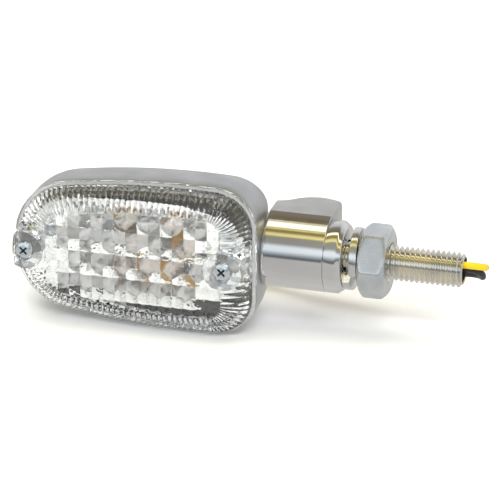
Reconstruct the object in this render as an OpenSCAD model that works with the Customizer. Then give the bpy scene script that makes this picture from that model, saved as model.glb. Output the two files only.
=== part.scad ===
// Motorcycle turn signal indicator: a clear LED head on a swivelling arm with a hollow threaded stud.
// X runs along the stud towards its free end, the lens faces -Y, +Z is up.
// The origin is on the stud's axis, in the plane of the arm's end face, where the bracket is clamped.

/* [Head] */
// Width of the head along the stud's axis, before its outer end is drawn in 1 mm
head_w = 73.4; // [70:0.2:76]
// Height of the head
head_h = 45.2; // [44:0.2:48]
// Depth of the housing behind its rim
shell_depth = 25; // [24.5:0.5:30]
// Length of the housing's straight wall before its back rounds off
shell_straight = 7; // [6:0.5:8]
// Wall of the housing
shell_wall = 2.2; // [1.6:0.1:2.4]
// Distance from the arm's end face to the middle of the head
head_offset = 55.1; // [55.1:0.1:56]
// Distance from the housing's rim back to the stud's axis
axis_depth = 12.1; // [12.1:0.1:13]
// Corner radius at the stud's side
corner_in = 12; // [11:0.5:13]
// Corner radius at the outer side
corner_out = 18; // [17:0.2:18.4]
// Radius of the gently crowned top and bottom edges
crown_r = 230; // [200:10:300]
// Radius of the crowned outer end
end_r = 23; // [23:0.5:25]

/* [Lens] */
// Height of the lens's flat front above the housing's rim
lens_rise = 7.5; // [7:0.1:8.5]
// Width of the sloping fluted border
border_w = 7.5; // [7:0.1:8]
// Thickness of the lens's flange
flange_t = 1.2; // [1:0.1:1.4]
// Thickness of the gasket under the flange
gasket_t = 0.4; // [0.3:0.1:0.5]
// Wall of the lens
lens_wall = 2; // [1.6:0.1:2.2]
// Radius of the two screw bosses
boss_r = 5.7; // [5:0.1:5.8]

/* [Light] */
// Number of LEDs in a row
led_cols = 6; // [4:1:6]
// Number of rows of LEDs
led_rows = 4; // [2:2:4]
// Distance between LEDs in a row
led_dx = 7.2; // [7:0.1:7.4]
// Distance between rows
led_dz = 7; // [6.4:0.1:7.2]
// Radius of an LED's body
led_r = 2.5; // [2.3:0.1:2.5]

/* [Arm] */
// Radius of the arm, its collar and the housing's boss
arm_r = 10.5; // [10.2:0.1:10.5]
// Length of the arm
arm_len = 18.15; // [18.05:0.05:18.2]
// Height of the arm's flat top above the stud's axis
hood_z = 11.9; // [11.7:0.1:12.2]

/* [Stud and nut] */
// Major radius of the stud's thread (M10)
stud_r = 5; // [5:0.5:5]
// Pitch of the thread
pitch = 1.5; // [1:0.25:1.5]
// Radius of the hole along the stud
stud_hole_r = 3.45; // [3.3:0.05:3.5]
// Length of the stud beyond the arm's end face
stud_out = 39; // [38.5:0.1:39.5]
// Width of the nut across its flats
nut_af = 19; // [17:1:19]
// Thickness of the nut
nut_t = 8; // [7:0.5:8]

/* [Leads] */
// Radius of a lead
lead_r = 1; // [0.9:0.05:1]
// Length of the straight runs in the folded hank
run_len = 30; // [28:1:30]
// Radius of the hank's folds
fold_r = 6; // [6:0.1:6.4]

/* [Hidden] */
$fn = 64;
clear = 0.05;                      // running clearance between pieces that move
floor_z = -head_h / 2;             // surface that the head and the leads' hank lie on
rim_y = -axis_depth;               // plane of the housing's rim
seam_x = -arm_len;                 // joint between the housing's boss and the arm
screw_x = [-30.6, 28.4];           // lens screws, from the middle of the head
screw_r = 1.45;                    // shank of a lens screw
screw_head = [2.3, 1.5];           // radius and height of its head
post_r = 3.2;                      // housing post that a lens screw bites into
board = [27, 16, 1.6];             // half width, half height and thickness of the circuit board
board_y = 3.8;                     // front of the board behind the rim
post_end = 19;                     // back end of the posts that hold the board
head_out = head_w / 2 - 1;          // reach of the head's outer end from its middle
back_r = 8;                        // how far the housing's back draws in at the stud's side
board_screw = [9, 14.2];           // board screw, X and Z; the other lies opposite
led_len = 8.6;                     // an LED from its flange to the tip of its dome
boss_in = [25, 28];                // inner ends of the housing's thin and thick boss, from the head's middle
neck_r = 6.6;                      // radius of the thin boss
ring_in = [23.2, 24.2];            // retaining ring on the stud, from the middle of the head
stud_in = 22;                      // inner end of the stud, from the middle of the head
groove_r = 4.2;                    // bottom of the retaining ring's groove
core_r = stud_r - 0.25;            // stud where the arm, washers and nut cover it
collar_t = 5.1;                    // clamping collar
washer = [9.05, 5.25, 2.2];        // split washer: outer and inner radius and thickness
washer_x = collar_t + 0.1;
nut_x = washer_x + 2 * washer[2] + 0.05;
free_x = nut_x + nut_t + 0.2;      // start of the bare thread
grub = [2.45, 7.2, -6.5, 1.5];     // grub screw: radius, length, place along X and Z
yellow_at = [-0.7, 1.95];          // yellow lead in the stud's hole, Y and Z
black_at = [0.9, 0.3];              // black lead in the stud's hole, Y and Z
step = 2 * lead_r + 0.1;           // distance between the layers of a hank
hank_at = [-58, 31];               // middle of the hanks, X and Y
tie = [3, 0.6];                    // width and thickness of the hank's tie
hank_h = 2 * step;                 // height of one lead's hank: two layers
hank_r = fold_r + step / 2;        // outer radius of its folds
hank_z = [floor_z + tie[1] + clear, floor_z + tie[1] + hank_h + 2 * clear];
in_at = [-37.9, hank_at.y - fold_r];  // where a lead goes into its hank, X and Y
out_at = [-37.9, hank_at.y + fold_r]; // and where its last stretch comes out
layer = [for (z = hank_z, i = [0, 1]) z + (i + 0.5) * step];   // heights of the four layers
bullet_z = floor_z + 2.4;          // axis of the bullet terminals
bullet_x = -22;                    // where a lead goes into its terminal

// A bend from +X at p towards +Y and down by angle dip, with radius r.
function bend(p, r, dip) = [for (t = [0:20:100])
    p + r * [sin(t), (1 - cos(t)) * cos(dip), -(1 - cos(t)) * sin(dip)]];
// Route of each lead from the stud's mouth to its hank, and from its hank to its terminal.
yellow_route = concat([[stud_out, -0.7, 1.95]], bend([stud_out + 1, -0.7, 1.95], 4.4, 24), [
    [43.7, 7, -1.45], [42.5, 10.2, -2.85], [40.1, 12.9, -4.2], [36.7, 14.9, -5.3], [32.2, 16.2, -6.2],
    [27, 16.8, -7], [21, 17.2, -7.7], [15, 17.6, -8.5], [9, 18.1, -9.5], [3, 18.7, -10.8],
    [-3, 19.5, -12.3], [-9, 20.5, -14], [-15, 21.8, -15.9], [-21, 23.2, -17.8], [-27, 24.3, -19.5],
    [-32.5, 24.9, -20.6], [in_at.x, in_at.y, layer[0]]]);
black_route = concat([[stud_out, 0.9, 0.3]], bend([stud_out + 0.3, 0.9, 0.3], 4.2, 44), [
    [42.9, 7, -4.4], [41.5, 10.2, -5.5], [38.9, 12.4, -6.3], [35.4, 13.8, -7.1], [31.1, 14.6, -7.7],
    [26, 14.9, -8.3], [20, 15.1, -8.8], [14, 15.4, -9.3], [8, 15.9, -9.8], [2, 16.6, -10.4],
    [-4, 17.8, -11.1], [-10, 19.3, -12], [-16, 21.1, -13.1], [-22, 22.8, -14.3], [-27.5, 24.1, -15.4],
    [-32.5, 24.8, -16.3], [in_at.x, in_at.y, layer[2]]]);
yellow_tail = [[out_at.x, out_at.y, layer[1]], [-35.3, 37.1, -18.9], [-32.3, 37.9, -19.3],
    [-28.9, 39.1, -19.8], [-25.4, 39.9, bullet_z + 0.03], [bullet_x - 0.02, 40, bullet_z]];
black_tail = [[out_at.x, out_at.y, layer[3]], [-35.5, 36.9, -14.8], [-32.4, 36.2, -16.1],
    [-28.9, 35.2, -18.3], [-24.6, 34.5, bullet_z], [bullet_x - 0.02, 34.5, bullet_z]];

// --- outlines and lofts ---

function arc(c, r, a0, a1, n) = [for (i = [0:n]) let (a = a0 + (a1 - a0) * i / n) c + r * [cos(a), sin(a)]];
function bearing(from, to) = atan2(to.y - from.y, to.x - from.x);
// the crossing of two circles on the left of the line from c1 to c2
function crossing(c1, r1, c2, r2) =
    let (d = norm(c2 - c1), u = (c2 - c1) / d, a = (r1 * r1 - r2 * r2 + d * d) / (2 * d))
    c1 + a * u + sqrt(r1 * r1 - a * a) * [-u.y, u.x];

// The head's outline as seen from the front, pulled in by d: a crowned top, two corners at the
// stud's side and a rounder outer end. drop leaves out points that would repeat.
crown_c = [16, head_h / 2 - crown_r];
end_c = [end_r - head_out, 0];
in_c = let (x = head_w / 2 - corner_in)
    [x, crown_c.y + sqrt(pow(crown_r - corner_in, 2) - pow(x - crown_c.x, 2))];
out_c = crossing(crown_c, crown_r - corner_out, end_c, end_r - corner_out);
function upper(d) = concat(
    arc(in_c, corner_in - d, 0, bearing(crown_c, in_c), 6),
    arc(crown_c, crown_r - d, bearing(crown_c, in_c) + 1.6, bearing(crown_c, out_c) - 1.6, 6),
    arc(out_c, corner_out - d, bearing(crown_c, out_c), bearing(end_c, out_c), 5),
    let (b = 180 - bearing(end_c, out_c)) arc(end_c, end_r - d, 180 - b * 2 / 3, 180 - b / 3, 1));
function outline(d) = let (u = upper(d), n = len(u)) concat(u, [[end_c.x - end_r + d, 0]],
    [for (i = [n - 1:-1:0]) [u[i].x, -u[i].y]]);

function ring(pts, y) = [for (p = pts) [p.x, y, p.y]];
// A solid through closed rings of the same number of points, capped at both ends.
module loft(rings) {
    n = len(rings[0]);
    k = len(rings);
    polyhedron(
        points = [for (r = rings) each r],
        faces = concat(
            [[for (i = [0:n - 1]) i]],
            [for (j = [0:k - 2], i = [0:n - 1]) let (a = j * n + i, b = j * n + (i + 1) % n)
                each [[b, a, a + n], [b, a + n, b + n]]],
            [[for (i = [n - 1:-1:0]) (k - 1) * n + i]]));
}

// A round tube swept along a route of points, eight-sided.
function unit(v) = v / norm(v);
function heading(r, i) = unit(r[min(i + 1, len(r) - 1)] - r[max(i - 1, 0)]);
function tube_ring(r, i, rad) =
    let (t = heading(r, i), s = unit(cross(t, [0, 0.3, 1])), u = cross(s, t))
    [for (k = [0:7]) r[i] + rad * (cos(45 * k + 22.5) * s - sin(45 * k + 22.5) * u)];
module tube(route, rad) {
    loft([for (i = [0:len(route) - 1]) tube_ring(route, i, rad)]);
}

module in_head() { translate([-head_offset, rim_y, 0]) children(); }
// a cylinder along Y from y0 to y1
module along_y(r, y0, y1) { translate([0, y0, 0]) rotate([-90, 0, 0]) cylinder(r = r, h = y1 - y0); }
// a cylinder along X from x0 to x1
module along_x(r, x0, x1) { translate([x0, 0, 0]) rotate([0, 90, 0]) cylinder(r = r, h = x1 - x0); }
// an outline in X and Z extruded along Y from y0 to y1
module slab(y0, y1) { translate([0, y1, 0]) rotate([90, 0, 0]) linear_extrude(y1 - y0) children(); }

// --- head ---

// The housing's rounded back: the ring at angle t is the outline drawn in, evenly above and below,
// more at the outer end than at the stud's side.
function back_size(t) = pow(cos(t), 0.9);
function back_ring(t, d, depth, inset_max) = let (
    half = head_h / 2 - d,
    inset = min(half * (1 - back_size(t)), inset_max),
    outer = (head_out - d) * back_size(t) / (head_out - d - inset),
    inner = (head_w / 2 - d - back_r * (1 - cos(t))) / (head_w / 2 - d - inset),
    y = shell_straight + (depth - shell_straight) * sin(t))
    [for (p = outline(d + inset))
        [p.x * (p.x < 0 ? outer : inner), y, p.y * half * back_size(t) / (half - inset)]];
function back_rings(d, depth, inset_max) = [for (t = [15:15:75]) back_ring(t, d, depth, inset_max)];

module shell() {
    outside = concat([ring(outline(0), 0), ring(outline(0), shell_straight)], back_rings(0, shell_depth, 7));
    inside = concat([ring(outline(shell_wall), 0), ring(outline(shell_wall), shell_straight)],
        back_rings(shell_wall, shell_depth - shell_wall, 6));
    loft(concat([for (i = [len(outside) - 1:-1:0]) outside[i]], inside));
}

module at_board_screws() {
    for (s = [-1, 1]) translate([s * board_screw.x, 0, s * board_screw.y]) children();
}

module housing() {
    color("silver") {
        difference() {
            union() {
                in_head() {
                    shell();
                    translate([screw_x[0], 0, 0]) along_y(post_r, 0, 12);
                    translate([screw_x[1], 0, 0]) along_y(post_r, 0, 5);
                    at_board_screws() along_y(2.6, board_y + board[2] + 0.02, post_end);
                }
                along_x(neck_r, boss_in[0] - head_offset, boss_in[1] - head_offset + 1);
                along_x(arm_r, boss_in[1] - head_offset, seam_x - clear);
            }
            in_head() {
                for (x = screw_x) translate([x, 0, 0]) along_y(screw_r + clear, -1, 4.6);
                at_board_screws() along_y(1.05, 4, 12);
            }
            along_x(core_r + clear, boss_in[0] - head_offset - 1, seam_x + 1);
        }
    }
}

// The lens's border: how far in and how far forward each ring of it lies.
border = [[0.12, 0], [0.2, 0.3], [0.4, 0.62], [0.66, 0.85], [1, 1]];
side_squeeze = 0.04;   // the flat front is a little narrower than the border alone makes it
function lens_ring(k, y, d = 0) =
    [for (p = outline(k * border_w + d)) [p.x * (1 - side_squeeze * k), y, p.y]];
module lens_shell() {
    y0 = -gasket_t;
    y1 = y0 - flange_t;
    y2 = -lens_rise;
    outside = concat([lens_ring(0, y0), lens_ring(0, y1)],
        [for (b = border) lens_ring(b[0], y1 + (y2 - y1) * b[1])]);
    inside = concat([lens_ring(0, y0, 2.4)],
        [for (b = border) lens_ring(b[0] * 0.7, y0 + (y2 + lens_wall - y0) * b[1], 2.4)]);
    loft(concat([for (i = [len(inside) - 1:-1:0]) inside[i]], outside));
}

module lens() {
    color("white", 0.5) in_head() difference() {
        union() {
            lens_shell();
            intersection() {
                for (x = screw_x) translate([x, 0, 0]) along_y(boss_r, -lens_rise - 0.4, -gasket_t - 0.3);
                slab(-lens_rise - 1, 0) polygon(outline(1.6));
            }
        }
        for (x = screw_x) translate([x, 0, 0]) {
            along_y(screw_r + 0.15, -lens_rise - 1, 1);
            along_y(3, -lens_rise - 1, -lens_rise + 0.8);
        }
    }
}

module lens_gasket() {
    color("dimgray") in_head() slab(-gasket_t + 0.01, -0.01) difference() {
        polygon(outline(0.5));
        polygon(outline(1.9));
    }
}

// A pan-head screw with a cross recess, its head's seat at y = 0 and its tip at +Y.
module pan_screw(r, tip, head) {
    difference() {
        union() {
            along_y(r, 0, tip);
            along_y(head[0], -head[1] + 0.4, 0);
            translate([0, -head[1] + 0.4, 0]) rotate([90, 0, 0])
                cylinder(r1 = head[0], r2 = head[0] - 0.7, h = 0.4);
        }
        for (a = [45, 135]) rotate([0, a, 0])
            translate([-head[0] * 0.62, -head[1] - 0.1, -0.3]) cube([head[0] * 1.24, 0.9, 0.6]);
    }
}
module lens_screw(x) {
    color("lightsteelblue") in_head() translate([x, -lens_rise + 0.8 - 0.02, 0])
        pan_screw(screw_r, lens_rise - 0.8 + 4.4, screw_head);
}
module lens_screw_outer() { lens_screw(screw_x[0]); }
module lens_screw_inner() { lens_screw(screw_x[1]); }

// places of the LEDs: alternate rows are shifted half a step to either side
function led_at(i, j) = [(i - (led_cols - 1) / 2 + (j % 2 == 0 ? -0.25 : 0.25)) * led_dx,
    (j - (led_rows - 1) / 2) * led_dz];
module each_led() {
    for (i = [0:led_cols - 1], j = [0:led_rows - 1])
        translate([led_at(i, j).x, 0, led_at(i, j).y]) children();
}

module reflector() {
    color("gainsboro") in_head() difference() {
        slab(0.3, 1.3) polygon(outline(shell_wall + 0.4));
        each_led() along_y(led_r + 0.2, -1, 3);
        for (x = screw_x) translate([x, 0, 0]) along_y(post_r + 0.3, -1, 3);
    }
}

module circuit_board() {
    color("darkgreen") in_head() difference() {
        slab(board_y, board_y + board[2]) intersection() {
            square([2 * board[0], 2 * board[1]], center = true);
            polygon(outline(shell_wall + 0.6));
        }
        translate([screw_x[0], 0, 0]) along_y(post_r + 0.4, 0, 10);
        translate([screw_x[1], 0, 0]) along_y(post_r + 0.4, 0, 10);
        at_board_screws() along_y(1.2, 0, 10);
    }
}

module leds() {
    color("lightyellow") in_head() each_led() {
        base = board_y - 0.02;
        along_y(led_r + 0.4, base - 1, base);
        along_y(led_r, base - led_len + led_r, base - 1);
        translate([0, base - led_len + led_r, 0]) sphere(r = led_r, $fn = 32);
    }
}

module resistors() {
    color("tan") in_head() for (i = [0:led_cols - 1])
        translate([led_at(i, 0).x + led_dx / 4, board_y + board[2] + 1.15, -8])
            cylinder(r = 1.1, h = 6, center = true);
}
module diode() {
    color("black") in_head() translate([4, board_y + board[2] + 1.4, 8]) rotate([0, 90, 0])
        cylinder(r = 1.35, h = 5, center = true);
}
module board_screws() {
    color("lightsteelblue") in_head() at_board_screws() translate([0, board_y - 0.02, 0])
        pan_screw(1, 7, [1.75, 1.2]);
}

// Short wires from the board's back to the inner end of the stud.
function board_wire(x, z, at) = let (y = board_y + board[2] + 0.02, to = [axis_depth + at.x, at.y]) [
    [x, y, z], [x, y + 2, z], [x + 0.8, y + 3.8, z + (to.y - z) * 0.2],
    [x + 2.6, to.x - 0.9, z + (to.y - z) * 0.55], [x + 5, to.x - 0.1, to.y + (z - to.y) * 0.1],
    [stud_in - 2, to.x, to.y], [stud_in - 0.6, to.x, to.y]];
module yellow_board_wire() { color("gold") in_head() tube(board_wire(12.6, 5.6, yellow_at), lead_r); }
module black_board_wire() { color("black") in_head() tube(board_wire(13.4, -2.6, black_at), lead_r); }

// --- swivel between the head and the arm ---

module wave_washer() {
    color("gray") difference() {
        along_x(6.3, ring_in[1] - head_offset + 0.02, boss_in[0] - head_offset - 0.02);
        along_x(core_r + 0.1, ring_in[1] - head_offset - 1, boss_in[0] - head_offset + 1);
    }
}
module retaining_ring() {
    color("gray") difference() {
        along_x(6.3, ring_in[0] - head_offset, ring_in[1] - head_offset);
        along_x(groove_r + 0.03, ring_in[0] - head_offset - 1, ring_in[1] - head_offset + 1);
        translate([ring_in[0] - head_offset - 1, 0, 4]) cube([4, 2, 6], center = true);
    }
}
module swivel_o_ring() {
    color("black") translate([seam_x + 0.62, 0, 0]) rotate([0, 90, 0])
        rotate_extrude() translate([8, 0]) circle(r = 0.58, $fn = 24);
}

// --- arm and stud ---

// Back face of the arm's hood, X and Y: it swells towards the clamped end.
hood_back = [[0, 14.2], [-0.8, 14.8], [-3.1, 15.7], [-6.4, 16.2], [-8.4, 15.9], [-12, 14.4],
    [-14.6, 12.2], [-16.8, 11.1], [-arm_len, 10.8]];
hood_slope = [123, 109];               // bearings of the front slope where it leaves the arm and at the ridge
hood_slope_r = 29;                     // radius of that gently crowned slope
// Section of the hood at x, Y and Z: the slope up to the ridge, the flat top and a rounded back.
function hood_ring(x, back) = let (
    c = (arm_r - hood_slope_r) * [cos(hood_slope[0]), sin(hood_slope[0])],
    foot = 0.98 * arm_r * [cos(hood_slope[0] + 6), sin(hood_slope[0] + 6)],
    slope = [for (p = arc(c, hood_slope_r, hood_slope[0] - 5, hood_slope[1], 2))
        [p.x, min(p.y, hood_z)]],
    pts = concat([[0, -6], foot], slope, arc([back - 3, hood_z - 3], 3, 90, 0, 4),
        arc([back - 4, -1], 4, 0, -60, 3), [[7.5, -6.8]])) [for (p = pts) [x, p.x, p.y]];
module hood() {
    loft([for (p = hood_back) hood_ring(p.x, p.y)]);
}
module arm() {
    color("silver") difference() {
        union() {
            along_x(arm_r, -arm_len, 0);
            hood();
        }
        along_x(core_r + clear, -arm_len - 1, 1);
        along_x(8.65, -arm_len - 1, -arm_len + 1.25);
        translate([grub[2], 0, grub[3]]) along_y(grub[0] + clear, 3, 20);
    }
    color("silver") difference() {
        along_x(7.35, -arm_len, -arm_len + 1.3);
        along_x(core_r + clear, -arm_len - 1, 1);
    }
}
module grub_screw() {
    color("dimgray") translate([grub[2], core_r + 0.05, grub[3]]) difference() {
        along_y(grub[0], 0, grub[1]);
        along_y(1.45, grub[1] - 2.5, grub[1] + 1, $fn = 6);
    }
}

module hollow_stud() {
    color("lightgray") difference() {
        union() {
            along_x(core_r, stud_in - head_offset, free_x);
            along_x(stud_r, free_x, stud_out - 0.9);
            translate([stud_out - 0.9, 0, 0]) rotate([0, 90, 0])
                cylinder(r1 = stud_r, r2 = stud_r - 0.9, h = 0.9);
        }
        along_x(stud_hole_r, stud_in - head_offset - 1, stud_out + 1);
        difference() {
            along_x(stud_r + 1, ring_in[0] - head_offset - 0.02, ring_in[1] - head_offset + 0.02);
            along_x(groove_r, ring_in[0] - head_offset - 1, ring_in[1] - head_offset + 1);
        }
    }
}
module lead_sleeve() {
    color("black") difference() {
        along_x(stud_hole_r - clear, stud_in - head_offset + 0.4, stud_out - 0.8);
        along_x(stud_hole_r - 0.35, stud_in - head_offset - 1, stud_out + 1);
    }
}
module wire_in_stud(at) {
    translate([0, at.x, at.y]) along_x(lead_r, stud_in - head_offset, stud_out - 0.02);
}
module yellow_wire_in_stud() { color("gold") wire_in_stud(yellow_at); }
module black_wire_in_stud() { color("black") wire_in_stud(black_at); }

// --- collar, washer and nut ---

module collar() {
    color("silver") rotate([0, 90, 0]) rotate_extrude() polygon([
        [stud_r + 0.25, clear], [arm_r - 0.3, clear], [arm_r, clear + 0.3], [arm_r, 3.4], [arm_r - 0.35, 4],
        [arm_r - 1.1, collar_t - 0.2], [arm_r - 1.5, collar_t], [stud_r + 0.25, collar_t]]);
}
// One turn of a square section with a gap, its ends one thickness apart.
module lock_washer() {
    turns = 48;
    open = 8;
    color("darkgray") loft([for (i = [0:turns])
        let (a = 200 + open + (360 - 2 * open) * i / turns, x = washer_x + washer[2] * i / turns)
        [for (p = [[washer[1], 0], [washer[1], washer[2]], [washer[0], washer[2]], [washer[0], 0]])
            [x + p.y, p.x * cos(a), p.x * sin(a)]]]);
}
module hex_nut() {
    corner_r = nut_af / 2 / cos(30);
    color("lightsteelblue") translate([nut_x, 0, 0]) rotate([-1.6, 0, 0]) rotate([0, 90, 0]) difference() {
        intersection() {
            rotate(90) cylinder(r = corner_r, h = nut_t, $fn = 6);
            cylinder(r1 = nut_af / 2 - 0.3, r2 = nut_af / 2 - 0.3 + nut_t * 1.732, h = nut_t);
            cylinder(r1 = nut_af / 2 - 0.3 + nut_t * 1.732, r2 = nut_af / 2 - 0.3, h = nut_t);
        }
        translate([0, 0, -1]) cylinder(r = stud_r + clear, h = nut_t + 2);
        translate([0, 0, -0.01]) cylinder(r1 = stud_r + 0.8, r2 = stud_r + clear, h = 0.75);
        translate([0, 0, nut_t - 0.74]) cylinder(r1 = stud_r + clear, r2 = stud_r + 0.8, h = 0.75);
    }
}

// --- leads, folded into two hanks behind the head ---

module yellow_lead() {
    color("gold") {
        tube(yellow_route, lead_r);
        tube(yellow_tail, lead_r);
    }
}
module black_lead() {
    color("black") {
        tube(black_route, lead_r);
        tube(black_tail, lead_r);
    }
}
module hank(z) {
    translate([hank_at.x, hank_at.y, z]) linear_extrude(hank_h) union() {
        square([run_len, 2 * hank_r], center = true);
        for (s = [-1, 1]) translate([s * run_len / 2, 0]) circle(r = hank_r);
    }
}
module yellow_hank() { color("gold") hank(hank_z[0]); }
module black_hank() { color("black") hank(hank_z[1]); }
module hank_tie() {
    w = 2 * (hank_r + clear);
    h = 2 * hank_h + 3 * clear;
    color("dimgray") translate([hank_at.x, hank_at.y, floor_z + tie[1] + h / 2]) rotate([90, 0, 90])
        linear_extrude(tie[0], center = true) difference() {
            square([w + 2 * tie[1], h + 2 * tie[1]], center = true);
            square([w, h], center = true);
        }
}
module bullet(y) {
    color("goldenrod") translate([bullet_x, y, bullet_z]) {
        along_x(1.5, 6, 15);
        translate([15, 0, 0]) sphere(r = 1.9, $fn = 32);
        along_x(1.9, 15, 20);
        translate([20, 0, 0]) sphere(r = 1.9, $fn = 32);
    }
}
module bullet_sleeve(y) {
    color("white", 0.6) translate([bullet_x, y, bullet_z]) difference() {
        along_x(2.35, 0.02, 13);
        along_x(1.55, 5.9, 14);
    }
}
module yellow_bullet() { bullet(yellow_tail[5].y); }
module black_bullet() { bullet(black_tail[5].y); }
module yellow_bullet_sleeve() { bullet_sleeve(yellow_tail[5].y); }
module black_bullet_sleeve() { bullet_sleeve(black_tail[5].y); }

housing();
lens();
lens_gasket();
lens_screw_outer();
lens_screw_inner();
reflector();
circuit_board();
leds();
resistors();
diode();
board_screws();
yellow_board_wire();
black_board_wire();
wave_washer();
retaining_ring();
swivel_o_ring();
arm();
grub_screw();
hollow_stud();
lead_sleeve();
yellow_wire_in_stud();
black_wire_in_stud();
collar();
lock_washer();
hex_nut();
yellow_lead();
black_lead();
yellow_hank();
black_hank();
hank_tie();
yellow_bullet();
black_bullet();
yellow_bullet_sleeve();
black_bullet_sleeve();
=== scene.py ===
"""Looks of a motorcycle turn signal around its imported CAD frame: lens, housing, arm, stud, nut and leads."""

import math

import bmesh
import bpy
import numpy as np
from mathutils import Matrix, Vector, geometry


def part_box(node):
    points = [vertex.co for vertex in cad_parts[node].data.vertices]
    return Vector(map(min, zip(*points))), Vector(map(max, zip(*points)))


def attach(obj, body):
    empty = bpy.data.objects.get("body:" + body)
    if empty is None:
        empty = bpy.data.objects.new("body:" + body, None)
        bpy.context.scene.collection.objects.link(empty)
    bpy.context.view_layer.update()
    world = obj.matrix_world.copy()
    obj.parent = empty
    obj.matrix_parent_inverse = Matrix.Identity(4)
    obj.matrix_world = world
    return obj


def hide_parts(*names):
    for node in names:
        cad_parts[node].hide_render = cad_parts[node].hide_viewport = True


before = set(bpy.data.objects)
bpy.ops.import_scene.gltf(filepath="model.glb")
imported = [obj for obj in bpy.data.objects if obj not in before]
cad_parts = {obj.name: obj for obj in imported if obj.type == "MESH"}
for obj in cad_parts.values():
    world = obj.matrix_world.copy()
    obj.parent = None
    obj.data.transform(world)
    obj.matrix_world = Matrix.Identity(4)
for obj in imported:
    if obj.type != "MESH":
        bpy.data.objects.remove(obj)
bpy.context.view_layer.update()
MM = 0.001
scene = bpy.context.scene

# ---------------------------------------------------------------- camera and stage

TARGET = Vector((-20.5, -12.1, 4.4)) * MM    # what the camera looks at
DISTANCE = 0.7823
AZIMUTH, ELEVATION, ROLL = 15.33, 23.19, 0.125
LENS_MM, SENSOR_MM = 199, 36
FLOOR_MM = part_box("yellow_hank")[0][2] / MM - 0.65    # the surface under the head and the leads


def add_camera():
    a, e = math.radians(AZIMUTH), math.radians(ELEVATION)
    back = Vector((math.sin(a) * math.cos(e), -math.cos(a) * math.cos(e), math.sin(e)))
    camera = bpy.data.objects.new("camera", bpy.data.cameras.new("camera"))
    camera.data.lens = LENS_MM
    camera.data.sensor_width = SENSOR_MM
    camera.data.clip_end = 20
    facing = back.to_track_quat("Z", "Y").to_matrix().to_4x4()
    facing = facing @ Matrix.Rotation(math.radians(ROLL), 4, "Z")
    camera.matrix_world = Matrix.Translation(TARGET + DISTANCE * back) @ facing
    scene.collection.objects.link(camera)
    scene.camera = camera


add_camera()


# ---------------------------------------------------------------- mesh helpers

def new_object(name, verts, faces, smooth=True):
    """A mesh object from vertices in millimetres."""
    mesh = bpy.data.meshes.new(name)
    mesh.from_pydata([tuple(float(c) * MM for c in v) for v in verts], [], faces)
    mesh.update()
    bm = bmesh.new()
    bm.from_mesh(mesh)
    bmesh.ops.remove_doubles(bm, verts=bm.verts, dist=1e-7)
    bmesh.ops.recalc_face_normals(bm, faces=bm.faces)
    bm.to_mesh(mesh)
    bm.free()
    for p in mesh.polygons:
        p.use_smooth = smooth
    obj = bpy.data.objects.new(name, mesh)
    scene.collection.objects.link(obj)
    return obj


def loft(rings, closed=False):
    """Vertices and quads through rings of the same number of points; closed joins last to first."""
    n, k = len(rings[0]), len(rings)
    verts = [p for r in rings for p in r]
    faces = []
    for j in range(k if closed else k - 1):
        this, following = j * n, (j + 1) % k * n
        for i in range(n):
            after = (i + 1) % n
            faces.append((this + i, this + after, following + after, following + i))
    return verts, faces


def capped(rings):
    """Vertices and faces through rings, with a flat face over each end."""
    verts, faces = loft(rings)
    n = len(rings[0])
    return verts, faces + [tuple(range(n))[::-1], tuple(range(len(verts) - n, len(verts)))]


def sharpen(obj, angle=35):
    """Smooth shading that breaks at edges sharper than the angle."""
    bm = bmesh.new()
    bm.from_mesh(obj.data)
    for e in bm.edges:
        if len(e.link_faces) == 2:
            e.smooth = e.calc_face_angle(0) < math.radians(angle)
    bm.to_mesh(obj.data)
    bm.free()


def circle(steps):
    """The angles of a circle's points, in radians."""
    return [2 * math.pi * i / steps for i in range(steps)]


def lathe_x(name, profile, steps):
    """A closed profile of (x, radius) turned about the X axis."""
    rings = [[(x, r * math.cos(t), r * math.sin(t)) for x, r in profile] for t in circle(steps)]
    obj = new_object(name, *loft(rings, closed=True))
    sharpen(obj)
    return obj


def lathe_y(name, profile, centre, steps=72):
    """A closed profile of (y, radius) turned about an axis along Y through centre (x, z)."""
    rings = [[(centre[0] + r * math.cos(t), y, centre[1] + r * math.sin(t)) for y, r in profile]
             for t in circle(steps)]
    obj = new_object(name, *loft(rings, closed=True))
    sharpen(obj)
    return obj


def cut(obj, *tools, operation="DIFFERENCE"):
    """Cuts other objects out of obj, or keeps what is inside them, and deletes them."""
    for tool in tools:
        mod = obj.modifiers.new("cut", "BOOLEAN")
        mod.operation = operation
        mod.solver = "MANIFOLD"
        mod.object = tool
        depsgraph = bpy.context.evaluated_depsgraph_get()
        mesh = bpy.data.meshes.new_from_object(obj.evaluated_get(depsgraph))
        obj.modifiers.remove(mod)
        obj.data = mesh
        bpy.data.objects.remove(tool)


def rod(axis, r, start, end, at=(0, 0), steps=96):
    """A plain cylinder along X or Y used as a cutting tool; at gives its other two coordinates."""
    ring = [(r * math.cos(t), r * math.sin(t)) for t in circle(steps)]
    if axis == "x":
        rings = [[(x, at[0] + u, at[1] + v) for u, v in ring] for x in (start, end)]
    else:
        rings = [[(at[0] + u, y, at[1] + v) for u, v in ring] for y in (start, end)]
    return new_object("tool", *capped(rings), smooth=False)


# ---------------------------------------------------------------- leads

LEAD_R = 1.0
PITCH_OF_LAYERS = 2 * LEAD_R + 0.1
HANK_AT, RUN, FOLD = (-58, 31), 30, 6    # a hank's middle, straight length and fold radius
HANK_IN = -37.9                  # where a lead goes into its hank and comes out of it
LAYER = [FLOOR_MM + 0.65 + z + (i + 0.5) * PITCH_OF_LAYERS
         for z in (0, 2 * PITCH_OF_LAYERS + 0.05) for i in (0, 1)]     # heights of the two hanks' layers
STUD_OUT = 39.0
BULLET = (-22, FLOOR_MM + 2.4)   # X and Z where a lead enters its terminal


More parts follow.
